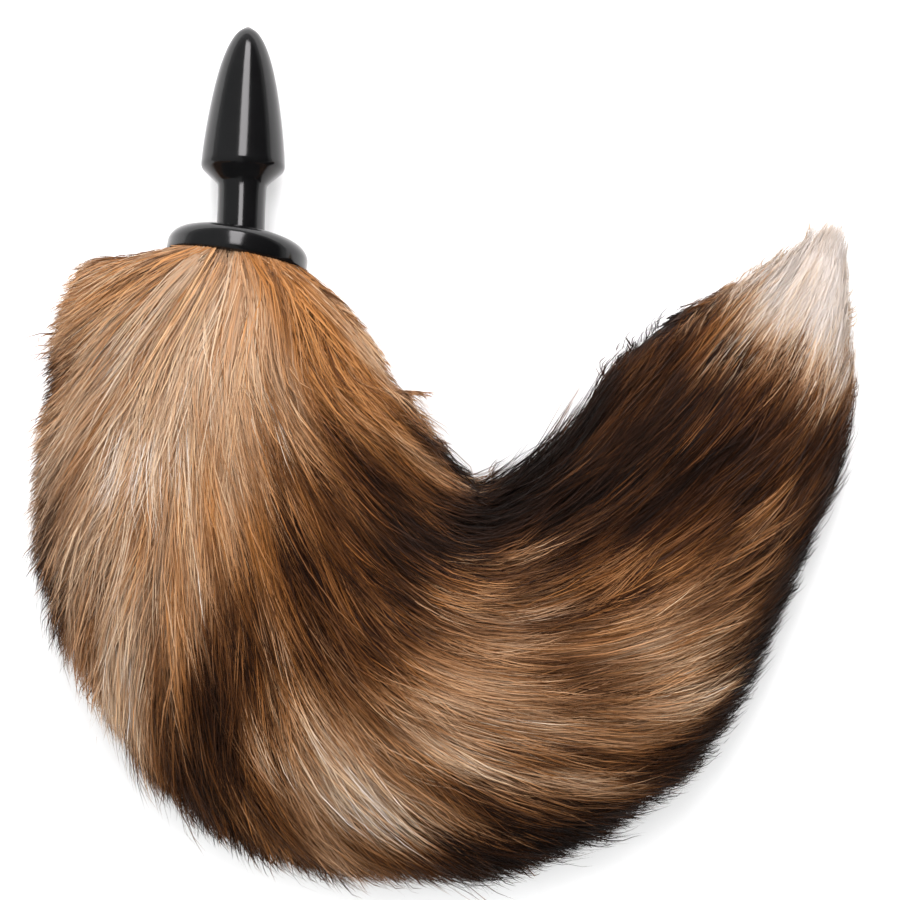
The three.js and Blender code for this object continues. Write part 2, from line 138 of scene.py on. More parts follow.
# Where the colours lie on the fur as seen from above. x runs right and y down, in points of
# 0.38 mm from the upper left corner of a square of 900 points round the tail. long and wide are
# the half sizes of a soft patch, and turn the way its length points, in degrees from x.
POINT = 0.38
PATCHES = (
    # x, y, long, wide, turn, tint, strength
    # the mantle, from the flange to its left side
    (180, 400, 170, 110, -95, "tan", 1.0),
    (160, 430, 90, 34, -115, "cream", 1.1),
    (215, 360, 80, 32, -95, "cream", 1.0),
    (105, 370, 70, 26, -138, "cream", 0.9),
    (110, 290, 50, 18, -150, "orange", 0.5),
    (150, 330, 60, 12, -130, "amber", 0.3),
    (220, 490, 55, 10, -85, "orange", 0.8),
    (190, 585, 60, 10, -90, "orange", 0.7),
    (160, 520, 60, 10, -100, "orange", 0.5),
    (60, 385, 30, 14, -110, "black", 1.2),
    (60, 475, 40, 16, -108, "fawn", 1.3),
    (50, 535, 40, 12, -105, "grey", 0.8),
    (80, 575, 40, 12, -100, "fawn", 0.5),
    (90, 470, 50, 12, -120, "brown", 0.5),
    (55, 610, 40, 14, -80, "black", 0.9),
    (95, 600, 60, 16, -95, "brown", 0.5),
    # the orange side below the flange, and the way to the inner bend
    (310, 330, 60, 24, -55, "orange", 2.4),
    (285, 300, 40, 18, -60, "orange", 0.7),
    (240, 300, 48, 28, -85, "cream", 2.2),
    (345, 385, 55, 16, -52, "amber", 1.1),
    (380, 410, 60, 14, -50, "orange", 0.8),
    (350, 325, 80, 10, -50, "tan", 0.8),
    (425, 405, 60, 12, -48, "tan", 1.3),
    (300, 430, 60, 12, -68, "tan", 0.6),
    (375, 480, 60, 14, -45, "dark", 1.0),
    (330, 500, 60, 16, -58, "dark", 0.9),
    (440, 450, 45, 8, -45, "black", 0.8),
    (450, 480, 40, 8, -45, "tan", 0.8),
    (420, 480, 50, 8, -45, "brown", 0.8),
    # the dark middle
    (315, 575, 60, 26, -75, "dark", 2.4),
    (345, 640, 70, 36, -68, "dark", 2.8),
    (400, 600, 50, 26, -45, "dark", 1.3),
    (280, 550, 50, 16, -80, "amber", 0.8),
    (365, 570, 50, 7, -60, "amber", 1.0),
    (330, 535, 45, 6, -68, "amber", 0.9),
    (395, 530, 50, 6, -45, "amber", 0.8),
    (295, 625, 50, 5, -75, "amber", 0.4),
    (430, 545, 38, 14, -15, "black", 2.2),
    (500, 495, 48, 20, 35, "black", 1.8),
    (550, 520, 45, 18, 20, "black", 1.1),
    (225, 705, 80, 20, -95, "dark", 2.4),
    (262, 660, 60, 18, -90, "dark", 1.4),
    (300, 690, 50, 10, -80, "brown", 0.7),
    # the lower left
    (130, 700, 70, 18, -92, "cream", 1.1),
    (105, 560, 50, 14, -105, "cream", 0.5),
    (170, 705, 60, 14, -85, "brown", 0.8),
    (165, 640, 60, 16, -90, "tan", 0.6),
    (190, 775, 55, 16, -78, "dark", 1.1),
    (130, 765, 30, 12, -75, "black", 1.2),
    (165, 800, 30, 12, -70, "brown", 0.8),
    (245, 800, 55, 14, -66, "brown", 1.0),
    (270, 750, 60, 10, -72, "tan", 0.6),
    (285, 800, 50, 12, -60, "dark", 0.8),
    (250, 850, 40, 12, -50, "dark", 0.9),
    (350, 755, 70, 26, -60, "cream", 1.3),
    (385, 805, 50, 18, -42, "cream", 0.9),
    (325, 835, 50, 14, -45, "tan", 0.6),
    (435, 740, 80, 18, -25, "cream", 1.1),
    (440, 755, 60, 8, -30, "brown", 0.9),
    (430, 690, 50, 22, -25, "tan", 0.9),
    (400, 700, 50, 8, -35, "tan", 0.8),
    (355, 710, 40, 18, -60, "tan", 1.0),
    (470, 790, 60, 12, -20, "brown", 1.0),
    (440, 795, 60, 12, -28, "tan", 1.2),
    (540, 790, 50, 18, -5, "brown", 1.3),
    # the bottom edge
    (440, 860, 70, 14, -20, "dark", 1.2),
    (390, 880, 40, 12, -28, "brown", 1.0),
    (320, 875, 40, 10, -35, "brown", 0.8),
    (520, 840, 70, 18, -5, "black", 1.3),
    (575, 820, 50, 14, 8, "black", 1.1),
    (470, 885, 50, 10, -12, "dark", 1.0),
    # the light middle of the brush
    (508, 592, 42, 26, -25, "tan", 1.5),
    (510, 560, 30, 10, 5, "cream", 0.8),
    (470, 655, 60, 18, -15, "tan", 1.3),
    (565, 600, 45, 32, 12, "brown", 1.7),
    (455, 565, 40, 16, -20, "dark", 1.5),
    (540, 660, 90, 16, -5, "brown", 0.8),
    (530, 640, 50, 6, -5, "tan", 0.9),
    (590, 705, 70, 20, 0, "brown", 0.9),
    (520, 715, 70, 14, -12, "tan", 1.2),
    (560, 745, 60, 12, -8, "brown", 1.3),
    (595, 775, 46, 12, -6, "cream", 1.1),
    (640, 700, 60, 14, 8, "tan", 1.8),
    (640, 640, 50, 12, 12, "tan", 0.9),
    (672, 660, 45, 24, 22, "tan", 1.5),
    (690, 690, 30, 12, 35, "cream", 1.0),
    (650, 600, 60, 14, 20, "tan", 0.8),
    (700, 615, 60, 16, 30, "tan", 0.6),
    (725, 575, 50, 16, 42, "brown", 1.8),
    (660, 585, 50, 12, 22, "brown", 1.1),
    (645, 680, 50, 8, 14, "brown", 0.6),
    (735, 590, 60, 16, 40, "brown", 1.0),
    (630, 565, 90, 20, 28, "brown", 1.2),
    (690, 540, 70, 20, 35, "amber", 1.0),
    (620, 560, 60, 12, 25, "amber", 0.7),
    # its dark edge
    (660, 765, 50, 16, 22, "dark", 1.3),
    (650, 800, 50, 12, 20, "black", 1.0),
    (705, 745, 45, 18, 38, "black", 1.5),
    (750, 665, 50, 20, 55, "black", 1.4),
    (790, 580, 50, 16, 64, "black", 1.4),
    (820, 510, 50, 14, 62, "black", 1.2),
    # the dark upper side
    (640, 480, 120, 42, 42, "dark", 1.9),
    (560, 465, 60, 26, 45, "black", 1.1),
    (700, 430, 80, 28, 50, "black", 2.4),
    (660, 380, 55, 30, 52, "dark", 1.8),
    (620, 405, 70, 8, 50, "amber", 1.2),
    (650, 350, 40, 6, 50, "amber", 0.9),
    (735, 400, 50, 5, 52, "amber", 0.5),
    (590, 455, 60, 6, 46, "brown", 0.8),
    (670, 450, 70, 5, 42, "amber", 0.4),
    (680, 495, 70, 12, 35, "brown", 0.9),
    (600, 510, 60, 10, 32, "brown", 0.7),
    (700, 340, 40, 10, 50, "amber", 0.8),
    (765, 470, 60, 20, 50, "dark", 1.5),
    (790, 520, 50, 10, 52, "brown", 0.7),
    (820, 440, 60, 20, 62, "dark", 1.5),
    (760, 380, 45, 22, 55, "dark", 1.4),
    (655, 320, 40, 14, 40, "dark", 1.5),
    (700, 320, 40, 12, 30, "dark", 1.2),
    # the pale tip
    (800, 300, 56, 36, 62, "white", 5.0),
    (830, 255, 40, 22, 70, "white", 5.0),
    (765, 318, 34, 13, 40, "white", 2.8),
    (842, 350, 40, 13, 85, "white", 3.0),
    (700, 300, 40, 8, 18, "fawn", 1.4),
    (728, 335, 36, 6, 50, "cream", 0.9),
)
PICTURE_MIDDLE = 450.0
FLANGE_PLACE = (236.3, 265.0)  # the middle of the flange's back face

# The set, in metres and watts
FLOOR_HALF = 6.0
FLOOR_HEIGHT = -0.0002
STRIP = ((0.02, 0.94, 0.91), (-0.08, 0.12, 0.03), 0.42, 1.44, 22)  # from, to, sizes and power
STRIP_COLOUR = (1, 0.97, 0.985)
SOFT_LAMPS = (
    ("top", (0.0, 0.0, 1.7), 24),
    ("left", (-1.5, 0.3, 1.2), 16),
    ("right", (1.5, -0.2, 1.2), 16),
)
SOFT_LAMP_SIZE = 1.5
LOW_SKY = (0.8, 0.8, 0.8, 1)
CAMERA_LENS = 100
CAMERA_HEIGHT = 0.975

# Fur pieces: name, where along the tail its hairs start and end, the hairs' number, the share of
# the reach that they start from, and the share of them that lies on the lower half
FUR_PIECES = (
    ("fur_mantle", -0.01, 0.13, 23500, 0.0, 0.06),
    ("fur_shoulder", 0.13, 0.3, 25500, 0.0, 0.06),
    ("fur_bend", 0.3, 0.5, 25500, 0.0, 0.06),
    ("fur_brush", 0.5, 0.7, 23500, 0.0, 0.06),
    ("fur_tip", 0.7, 0.97, 20500, 0.0, 0.06),
    ("fur_skirt", -0.01, 0.95, 14500, 0.45, 1.0),
)
HAIRS_PER_TUFT = 9
TUFTS_PER_LOCK = 6
PATH_STEPS = 14
HAIR_LENGTH = 64.0
HAIR_WIDTH = 0.5
SHORTEST_SHARE = 0.14  # of a lock's length, that hair at the edge keeps
LOCK_SPREAD = (6.0, 3.6)  # mm along and across from a lock's middle to its tufts' roots
TUFT_SPREAD = 1.5  # mm from a tuft's middle to its hairs' roots
EDGE = 0.98  # share of the reach where most locks stop
RIM = 1.01  # share of the reach past which a hair is drawn in
ROOT_RIM = 0.88  # and past which its root is
TEETH = (40, 26)  # pointed tufts along the outer and the inner edge
TOOTH = 0.2  # how far a pointed tuft stands out, as a share of the reach
TOOTH_BEFORE = 0.08  # and how far the edge falls short between two of them
TOOTH_VARIES = 0.3  # share by which their heights differ
TOOTH_TURN = 1.7
TOOTH_CURVE = 1.4
TEETH_START = (0.02, 0.12)  # where along the tail they grow to their full height
TEETH_WANDER = ((0.5, 2.3, 0), (0.3, 5.9, 1))  # waves that make their spacing uneven
INNER_TEETH_SHIFT = 0.4
STAND_OUT = (
    # at, how far the fur's edge stands out on the inner and on the outer side
    (0.0, 0.0, -0.13),
    (0.03, -0.02, -0.12),
    (0.08, -0.09, -0.02),
    (0.18, -0.09, 0.0),
    (0.3, 0.0, 0.0),
    (0.68, 0.0, 0.0),
    (0.74, 0.14, 0.0),
    (0.79, 0.13, 0.02),
    (0.83, 0.03, 0.06),
    (0.87, -0.16, 0.12),
    (0.92, -0.13, 0.12),
    (0.96, 0.0, 0.05),
    (1.0, 0.0, 0.0),
)
UNDERCOAT_REACH = 0.86
ROOT_REACH = 0.88  # the undercoat's reach where it meets the flange
ROOT_SWELL = 0.1  # share of the tail's length over which that changes

# How the hair lies: degrees that it turns from the core's heading towards the outer side, in a
# row for each place along the tail. Its columns lie across the fur from the inner side, -1, to
# the outer side, 1.
FLOW_ACROSS = (-0.9, -0.5, 0.0, 0.5, 0.9)
FLOW = (
    # at, inner edge, half inner, core, half outer, outer edge
    (0.0, -60, -50, -5, 50, 60),
    (0.07, -58, -38, 0, 38, 50),
    (0.13, -44, -24, 6, 42, 50),
    (0.2, -28, -12, 12, 44, 48),
    (0.27, -13, -3, 22, 42, 42),
    (0.34, 3, 8, 30, 46, 36),
    (0.42, 14, 10, 18, 32, 30),
    (0.5, 16, 8, 15, 30, 26),
    (0.58, 16, 15, 24, 34, 24),
    (0.66, 8, 13, 17, 24, 10),
    (0.74, 5, 14, 20, 20, 10),
    (0.82, 9, 13, 15, 9, 7),
    (0.93, 18, 15, 8, -8, -7),
    (1.0, 12, 8, 0, -6, -8),
)

# Where locks start
ROOT_TRIES = 12  # tries for each root that is kept
WIDEST_TRY = 0.93  # share of FUR_REACH that the tries cover
WIDEST_ROOT = 0.88  # share of the reach that holds the roots
FLANGE_SHARE = 0.1  # of the tries that lie close behind the flange
FLANGE_BAND = 0.03  # share of the tail's length that holds those
LEAST_CROWDING = 0.4  # how dense roots are in the inner bend, where straight fur has 1
MOST_CROWDING = 2.2
FLANGE_CROWDING = 1.2
FIRST_AT = -0.012  # the foremost and the last place of hair along the tail
LAST_AT = 1.012
NARROWEST = 0.25  # how narrow locks get towards the tail's tip
BEND_LIMIT = 0.3  # least stride along the tail on the inner side of the bend

# How locks, tufts and hairs differ. One number is a spread, two are limits.
TOP_SHARE = 0.9  # of the locks that lie on top in the middle
TOP_SHARE_LOSS = 0.35  # and how much smaller that share is at the edge
HALF_RAISED = (-0.6, 0.9)  # how high the others lie, from -1 below to 1 on top
HANGING = (-1, -0.3)
LOCK_LENGTHS = (0.75, 1.15)
TIP_LENGTH = 0.62  # share of their length that locks keep at the tail's tip
TIP_END = 1.02
TIP_SHORTENS = 0.3  # share of the tail's length before it, where they get shorter
LOCK_STRAY = 5.0  # degrees from the flow
TUFT_STRAY = 4.0
LOCK_EDGE = 0.03  # where hair stops at the fur's edge
TUFT_EDGE = 0.02
HAIR_RIM = 0.025
EDGE_LIMITS = (0.88, 1.06)
RIM_LIMITS = (0.85, 1.06)
RIM_OPENS = 0.5  # share of a hair's length over which it may come out to the rim
SPILL = 0.3  # share that is kept of what goes past the rim
SPILL_START = (0.15, 0.35)  # where along the inner side that begins
LEAST_STEP = 0.005
LEAST_SHARE = 0.1
TUFT_PULL = (0.3, 0.85)  # how far tufts close on their lock's way
PULL_CURVE = 1.5
HAIR_GATHER = (0.4, 0.95)  # and hairs on their tuft's
GATHER_CURVE = 1.3
SPREAD_ALONG = 1.5  # how much wider hairs spread along the tail than across it
HAIR_TRIM = (0.74, 1.05)
HAIR_WANDER = 1.6  # mm sideways at the tip
WAVE_TURN = 5.0
WAVE_ACROSS = 0.4
WAVE_UP = 0.02
TUFT_FAN = (-0.3, 0.26)  # how hair at the edge fans up and down
HAIR_FAN = 0.05
FAN_START = (0.78, 1.02)  # shares of the reach between which it opens
HAIR_WIDTHS = (0.6, 1.4)
HAIR_ROLL = 1.0  # radians
TAPER_CURVE = 0.55

# How deep hair lies, as shares of the reach, at its root and at its tip
DEEPEST = 0.76
SHALLOWEST = 0.94
DEPTH_RANGE = (0.14, 0.07)
ROOT_LIFT = 0.12  # how much less deep roots lie close behind the flange
ROOT_LIFT_END = 0.08
CLIMB_CURVE = 0.8
HAIR_LIFT = 0.012
FLYAWAY_SHARE = 0.04
FLYAWAY_LIFT = 0.09
LOWEST = 0.3  # mm above the floor

# How the colour varies. A slide is in mm along the hair.
LOCK_SLIDE = 7.0
TUFT_SLIDE = 4.0
HAIR_SLIDE = 3.0
LOCK_TONE = 0.08
# painted shade: how much darker the locks that lie deepest are painted
DEEP_LOCK_PAINTED_SHADE = 0.12
TUFT_TONE = 0.04
HAIR_TONE = 0.03
LOCK_WARMTH = 0.12
TUFT_WARMTH = 0.08
HAIR_WARMTH = 0.06
SIDE_WARMTH = 0.002
PALE_SHARE = 0.07
INKY_SHARE = 0.06
STRONG_TONE = 0.1  # by which single pale and inky hairs differ
PALE_TONES = (0.25, 0.6)  # tones between which pale hairs come to show
CALM_IN_WHITE = 0.6  # share by which the tone varies less in white fur
WHITE_TONES = (0.84, 0.96)
ROOT_SHADE = 0.18
TIP_SHINE = 0.03
UNDERCOAT_SHADE = 0.14
COLOUR_LIMITS = (0.01, 0.99)
PLAIN_STRENGTH = 0.06  # of the plain tan that lies under the patches

# The ribbons and the undercoat
HAIR_KNOTS = np.array([0, 0.3, 0.57, 0.8, 1.0])  # shares of a hair's length
POINTS_PER_HAIR = 2 * (len(HAIR_KNOTS) - 1) + 1
UNDERCOAT_GRID = (150, 72)
UNDERCOAT_ENDS = (0.002, 0.985)
RIPPLE = 0.012  # share of the reach
RIPPLE_AROUND = (23, 41)
RIPPLE_ALONG = (60, 35)
TINY = 1e-9


def smoothstep(x, low, high):
    """From 0 at low to 1 at high, level at both."""
    t = np.clip((x - low) / (high - low), 0, 1)
    return t * t * (3 - 2 * t)


def along_tail():
    """Every column of SECTIONS on a fine grid along the tail, smooth through the rows."""
    grid = np.linspace(0, 1, FINE_STEPS)
    rows = np.array(SECTIONS, float)
    ats = rows[:, 0]
    low = np.clip(np.searchsorted(ats, grid, side="right") - 1, 0, len(ats) - 2)
    step = ats[low + 1] - ats[low]
    t = (grid - ats[low]) / step
    before = np.maximum(np.arange(len(ats)) - 1, 0)
    after = np.minimum(np.arange(len(ats)) + 1, len(ats) - 1)
    columns = {"at": grid}
    for i, name in enumerate(SECTION_COLUMNS[1:], 1):
        value = rows[:, i]
        slope = (value[after] - value[before]) / (ats[after] - ats[before])
        eased = t * t * (3 - 2 * t)
        bend = (1 - t) * slope[low] - t * slope[low + 1]
        columns[name] = value[low] + (value[low + 1] - value[low]) * eased + step * t * (1 - t) * bend
    heading = np.radians(columns["heading"])
    stride = TAIL_LENGTH / (len(grid) - 1)
    middle = (heading[1:] + heading[:-1]) / 2
    columns["x"] = np.concatenate([[0], np.cumsum(stride * np.cos(middle))])
    columns["y"] = np.concatenate([[0], np.cumsum(stride * np.sin(middle))])
    columns["bend"] = np.gradient(heading, TAIL_LENGTH * grid)
    return columns


COLUMNS = along_tail()


def column(name, at):
    """A column's value at places along the tail."""
    return np.interp(at, COLUMNS["at"], COLUMNS[name])


droop = math.radians(PLUG_DROOP)
flange_height = FLANGE_DIAMETER / 2 * math.cos(droop) + FLANGE_THICKNESS / 2 * math.sin(droop)
plug_turn = Matrix.Rotation(math.radians(PLUG_HEADING - 90), 3, "Z") @ Matrix.Rotation(-droop, 3, "X")
plug_axis = plug_turn @ Vector((0, 1, 0))

# The flange's back face in the row's frame, found from the middle of the post
post_low, post_high = (Vector(corner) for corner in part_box("tail_post"))
post_middle = plug_axis * (POST_DEPTH_IN_FLANGE - POST_LENGTH / 2)
ORIGIN = (post_low + post_high) / 2 / MM - post_middle
ORIGIN = np.array([ORIGIN.x, ORIGIN.y, 0])


def core_point(at):
    """The core's place on the floor, straight on past the tip."""
    past = np.maximum(at - 1, 0) * TAIL_LENGTH
    heading = np.radians(column("heading", at))
    return column("x", at) + past * np.cos(heading), column("y", at) + past * np.sin(heading)


def fur_point(at, around, reach):
    """A point of the fur in mm. around is 0 at the outer side, and reach is 1 at the fur's edge."""
    heading = np.radians(column("heading", at))
    flat = smoothstep(at, 0, ROOT_ROUND)
    side = flange_height + (FUR_HEIGHT * column("side", at) - flange_height) * flat
    top = FUR_HEIGHT * column("top", at)
    width = FUR_REACH * np.where(np.cos(around) > 0, column("outer", at), column("inner", at))
    rise = np.sin(around)
    bottom = np.maximum(2 * side - top, 0) * (1 - flat)
    sag = np.minimum(-rise * (1 + (UNDERSIDE_FLATNESS - 1) * flat), 1)
    under = side + (bottom - side) * sag + UNDERSIDE_RISE * (1 - reach) * sag
    z = np.where(rise > 0, side + (top - side) * rise * reach, under)
    across = width * np.cos(around) * reach
    back = -(z - side) * math.tan(droop) * (1 - flat) + ROOT_OVERLAP * np.minimum(at, 0)
    x, y = core_point(at)
    return np.stack(
        [
            x + across * np.sin(heading) + back * np.cos(heading),
            y - across * np.cos(heading) + back * np.sin(heading),
            z,
        ],
        -1,
    )


def colour_at(places):
    """Tone and warmth of the fur at places in mm, as the patches mix there."""
    x = FLANGE_PLACE[0] + places[..., 0] / POINT
    y = FLANGE_PLACE[1] - places[..., 1] / POINT
    total = np.full(x.shape, PLAIN_STRENGTH)
    tone = total * TINTS["tan"][0]
    warmth = total * TINTS["tan"][1]
    for px, py, half_long, half_wide, turn, tint, strength in PATCHES:
        c, s = math.cos(math.radians(turn)), math.sin(math.radians(turn))
        u = ((x - px) * c - (y - py) * s) / half_long
        v = ((x - px) * s + (y - py) * c) / half_wide
        weight = strength * np.exp(-(u * u + v * v))
        total = total + weight
        tone = tone + weight * TINTS[tint][0]
        warmth = warmth + weight * TINTS[tint][1]
    return tone / total, warmth / total


def mesh_object(name, vertices, faces, colours, smooth=True):
    """A mesh piece from arrays in mm. colours holds a tone and a warmth for each vertex."""
    mesh = bpy.data.meshes.new(name)
    faces = np.asarray(faces, np.int32)
    places = (np.asarray(vertices) + ORIGIN) * MM
    mesh.vertices.add(len(places))
    mesh.vertices.foreach_set("co", places.astype(np.float32).ravel())
    mesh.loops.add(faces.size)
    mesh.loops.foreach_set("vertex_index", faces.ravel())
    mesh.polygons.add(len(faces))
    mesh.polygons.foreach_set("loop_start", np.arange(0, faces.size, faces.shape[1], dtype=np.int32))
    mesh.polygons.foreach_set("use_smooth", np.full(len(faces), smooth))
    layer = mesh.uv_layers.new(name="OFBake")
    layer.data.foreach_set("uv", np.asarray(colours, np.float32)[faces.ravel()].ravel())
    mesh.update()
    mesh.validate()
    made = bpy.data.objects.new(name, mesh)
    bpy.context.scene.collection.objects.link(made)
    return made


def flow_at(at, share):
    """How far the hair turns outwards from the core's heading, in degrees."""
    rows = np.array(FLOW, float)
    turns = np.stack([np.interp(at, rows[:, 0], rows[:, i + 1]) for i in range(len(FLOW_ACROSS))])
    place = np.interp(share, FLOW_ACROSS, np.arange(len(FLOW_ACROSS)))
    low = np.minimum(place.astype(int), len(FLOW_ACROSS) - 2)
    part = place - low
    hair = np.arange(len(at))
    return turns[low, hair] * (1 - part) + turns[low + 1, hair] * part


def hair_ways(start, across, stray, length):
    """The ways that hair takes over the curved tail: its places along it and across it in mm."""
    at, off = start.copy(), across.copy()
    ways = [np.stack([at, off])]
    stride = length / PATH_STEPS
    for _ in range(PATH_STEPS):
        turn = np.radians(flow_at(at, across_share(at, off)) + stray)
        bend = np.maximum(1 + off * column("bend", at), BEND_LIMIT)
        at = at + stride * np.cos(turn) / bend / TAIL_LENGTH
        off = off + stride * np.sin(turn)
        ways.append(np.stack([at, off]))
    return np.stack(ways, -1).transpose(1, 0, 2)


def across_share(at, off):
    """A place across the fur in mm, as a share of the reach on its side."""
    half = np.where(off > 0, column("outer", at), column("inner", at)) * FUR_REACH
    return off / np.maximum(half, LEAST_HALF_WIDTH)


def ragged(at, off):
    """How far the pointed tufts stand out of the edge there, as a share of the reach."""
    even = np.where(off > 0, at * TEETH[0], at * TEETH[1] + INNER_TEETH_SHIFT)
    place = even
    for size, turn, shift in TEETH_WANDER:
        place = place + size * np.sin(turn * even + shift)
    tall = (1 - TOOTH_VARIES) + TOOTH_VARIES * np.sin(TOOTH_TURN * place)
    tooth = TOOTH * tall * np.mod(place, 1) ** TOOTH_CURVE - TOOTH_BEFORE
    tooth = tooth * smoothstep(at, *TEETH_START)
    rows = np.array(STAND_OUT)
    inner, outer = (np.interp(at, rows[:, 0], rows[:, i]) for i in (1, 2))
    return tooth + np.where(off > 0, outer, inner)


def scatter_roots(first, last, count, nearest, rng):
    """Even places over the fur's width between two shares of the tail's length."""
    tries = ROOT_TRIES * count
    start = rng.uniform(first, last, tries)
    at_flange = rng.random(tries) < FLANGE_SHARE * (first < 0)
    start = np.where(at_flange, first + FLANGE_BAND * rng.random(tries), start)
    across = rng.uniform(-WIDEST_TRY, WIDEST_TRY, tries) * FUR_REACH
    bend = 1 + across * column("bend", start)
    share = np.abs(across_share(start, across))
    inside = (share < WIDEST_ROOT) & (share >= nearest)
    crowding = np.maximum(bend, LEAST_CROWDING) + FLANGE_CROWDING * at_flange
    keep = inside & (rng.random(tries) * MOST_CROWDING < crowding)
    return start[keep][:count], across[keep][:count]


def make_locks(first, last, count, nearest, low_share, rng):
    """The locks of a piece: their roots and ways, how they lie and how they are tinted, with painted
    shade darkening the deeper ones.
    """
    at, off = scatter_roots(first, last, count, nearest, rng)
    number = len(at)
    side = np.abs(across_share(at, off))
    kind = rng.random(number)
    on_top = kind < TOP_SHARE - TOP_SHARE_LOSS * side
    raised = np.where(on_top, 1.0, rng.uniform(*HALF_RAISED, number))
    raised = np.where(kind > 1 - low_share, rng.uniform(*HANGING, number), raised)
    depth = rng.uniform(0, 1, number)
    stray = rng.normal(0, LOCK_STRAY, number)
    length = HAIR_LENGTH * rng.uniform(*LOCK_LENGTHS, number)
    length *= TIP_LENGTH + (1 - TIP_LENGTH) * smoothstep(TIP_END - at, 0, TIP_SHORTENS)
    edge = np.clip(EDGE + rng.normal(0, LOCK_EDGE, number), *EDGE_LIMITS)
    slide = rng.normal(0, LOCK_SLIDE, number)
    # a lock's tone varies at random, and painted shade darkens the locks that lie deeper
    tone = rng.normal(0, LOCK_TONE, number) - DEEP_LOCK_PAINTED_SHADE * (1 - depth)
    warmth = rng.normal(0, LOCK_WARMTH, number)
    return SimpleNamespace(
        number=number,
        at=at,
        off=off,
        raised=raised,
        depth=depth,
        stray=stray,
        length=length,
        edge=edge,
        slide=slide,
        tone=tone,
        warmth=warmth,
        ways=hair_ways(at, off, stray, length),
    )


def make_tufts(locks, rng):
    """The tufts of the locks: the ways that they take, and how far along them their hair reaches."""
    number = locks.number * TUFTS_PER_LOCK
    lock = np.repeat(np.arange(locks.number), TUFTS_PER_LOCK)
    narrow = np.clip(column("outer", locks.at) + column("inner", locks.at), NARROWEST, 1)[lock]
    start = locks.at[lock] + rng.normal(0, LOCK_SPREAD[0], number) / TAIL_LENGTH
    start = np.maximum(start, FIRST_AT)
    across = locks.off[lock] + rng.normal(0, LOCK_SPREAD[1], number) * narrow
    stray = locks.stray[lock] + rng.normal(0, TUFT_STRAY, number)
    ways = hair_ways(start, across, stray, locks.length[lock])
    closing = np.linspace(0, 1, PATH_STEPS + 1) ** PULL_CURVE
    pull = rng.uniform(*TUFT_PULL, locks.number)[lock]
    ways += (locks.ways[lock] - ways) * pull[:, None, None] * closing

    out = np.abs(across_share(ways[:, 0], ways[:, 1]))
    teeth = ragged(ways[:, 0], ways[:, 1])
    stop = (locks.edge[lock] + rng.normal(0, TUFT_EDGE, number))[:, None] + teeth
    past = (out > stop) | (ways[:, 0] > LAST_AT)
    step = np.where(past.any(1), np.maximum(past.argmax(1), 1), PATH_STEPS)[:, None]
    before, after = (np.take_along_axis(out, k, 1) for k in (step - 1, step))
    stop, tooth = (np.take_along_axis(k, step, 1) for k in (stop, teeth))
    crossing = np.where(after > stop, (stop - before) / np.maximum(after - before, LEAST_STEP), 1)
    reachable = (step - 1 + np.clip(crossing, 0, 1))[:, 0] / PATH_STEPS
    return SimpleNamespace(
        number=number,
        lock=lock,
        narrow=narrow,
        start=start,
        ways=ways,
        tooth=tooth,
        reachable=np.maximum(reachable, SHORTEST_SHARE),
    )


def hair_lines(locks, tufts, tuft, rng):
    """Where each hair lies: its places along the tail, and its points in mm."""
    hairs = len(tuft)
    lock = tufts.lock[tuft]
    t = HAIR_KNOTS
    trim = tufts.reachable[tuft] * rng.uniform(*HAIR_TRIM, hairs)
    place = np.clip(trim[:, None] * t, 0, 1) * PATH_STEPS
    low = np.minimum(place.astype(int), PATH_STEPS - 1)
    part = place - low
    rows = tuft[:, None]
    at = tufts.ways[rows, 0, low] * (1 - part) + tufts.ways[rows, 0, low + 1] * part
    off = tufts.ways[rows, 1, low] * (1 - part) + tufts.ways[rows, 1, low + 1] * part

    gather = rng.uniform(*HAIR_GATHER, hairs)
    spread = rng.normal(0, TUFT_SPREAD, (2, hairs))
    wander = rng.normal(0, HAIR_WANDER, hairs)
    phase = rng.uniform(0, 2 * math.pi, hairs)
    wave = np.sin(phase[:, None] + WAVE_TURN * t) - np.sin(phase)[:, None]
    sideways = spread[0][:, None] * (1 - gather[:, None] * t**GATHER_CURVE)
    sideways = sideways + wander[:, None] * t**2 + WAVE_ACROSS * wave
    off = off + sideways * tufts.narrow[tuft][:, None]
    at = at + (spread[1] * SPREAD_ALONG / TAIL_LENGTH)[:, None]
    at = np.maximum(at, FIRST_AT)

    share = across_share(at, off)
    rim = np.clip(RIM + rng.normal(0, HAIR_RIM, hairs), *RIM_LIMITS)[:, None] + tufts.tooth[tuft]
    rim = ROOT_RIM + (rim - ROOT_RIM) * smoothstep(t, 0, RIM_OPENS)
    spill = np.where(off > 0, SPILL, SPILL * smoothstep(at, *SPILL_START))
    past = np.abs(share) - rim
    drawn_in = off / np.maximum(np.abs(share), LEAST_SHARE) * (rim + spill * past)
    off = np.where(past > 0, drawn_in, off)
    share = across_share(at, off)

    depth = locks.depth[lock]
    at_root = 1 - smoothstep(tufts.start, 0, ROOT_LIFT_END)
    deep = DEEPEST + DEPTH_RANGE[0] * depth + ROOT_LIFT * at_root[tuft]
    out = SHALLOWEST + DEPTH_RANGE[1] * depth + rng.normal(0, HAIR_LIFT, hairs)
    out = out + (rng.random(hairs) < FLYAWAY_SHARE) * rng.uniform(0, FLYAWAY_LIFT, hairs)
    reach = deep[:, None] + (out - deep)[:, None] * t**CLIMB_CURVE
    height = np.sqrt(np.maximum(reach**2 - share**2, 0.0)) * locks.raised[lock][:, None]
    fan = rng.uniform(*TUFT_FAN, tufts.number)[tuft] + rng.normal(0, HAIR_FAN, hairs)
    height = height + WAVE_UP * wave + fan[:, None] * smoothstep(np.abs(share), *FAN_START)
    line = fur_point(at, np.arctan2(height, share), np.hypot(height, share))
    line[..., 2] = np.maximum(line[..., 2], LOWEST)
    return at, line


